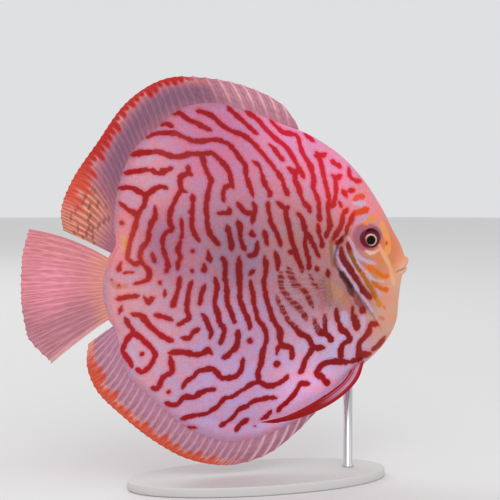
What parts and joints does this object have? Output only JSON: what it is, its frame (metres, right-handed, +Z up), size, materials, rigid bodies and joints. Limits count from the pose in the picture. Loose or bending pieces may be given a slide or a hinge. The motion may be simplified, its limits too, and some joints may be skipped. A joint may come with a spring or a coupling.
{
  "type": "discus fish model on a display stand",
  "caption": "Life-size still model of a discus fish with spread fins, held by one rod on an oval base.",
  "frame": {"origin": "centre of the stand base's underside, on the surface that the model stands on", "axes": "+X from the tail towards the snout, +Y out of the fish's left flank, +Z up"},
  "size_m": [0.1746, 0.054, 0.1743],
  "materials": {
    "skin": "painted scaled skin, pale lilac with winding deep red lines, satin gloss",
    "fin": "thin translucent fin membrane with raised rays, grey mauve and salmon",
    "clear_fin": "almost clear fin membrane with fine rays",
    "red_fin": "deep red fin membrane with raised rays",
    "eye": "polished glass eye with black pupil and thin gold ring",
    "stand_paint": "light warm grey satin powder coat on steel plate",
    "stand_steel": "brushed stainless steel rod"
  },
  "bodies": {
    "root": {"head": "skin", "torso": "skin", "tail_stalk": "skin", "gill_cover_right": "skin", "gill_cover_left": "skin", "eye_right": "eye", "eye_left": "eye", "dorsal_fin_spiny": "fin", "dorsal_fin_soft": "fin", "anal_fin_spiny": "fin", "anal_fin_soft": "fin", "caudal_fin": "fin", "pectoral_fin_right": "clear_fin", "pectoral_fin_left": "clear_fin", "pelvic_fin_right": "red_fin", "pelvic_fin_left": "red_fin", "stand_base": "stand_paint", "stand_rod": "stand_steel"}
  },
  "joints": []
}
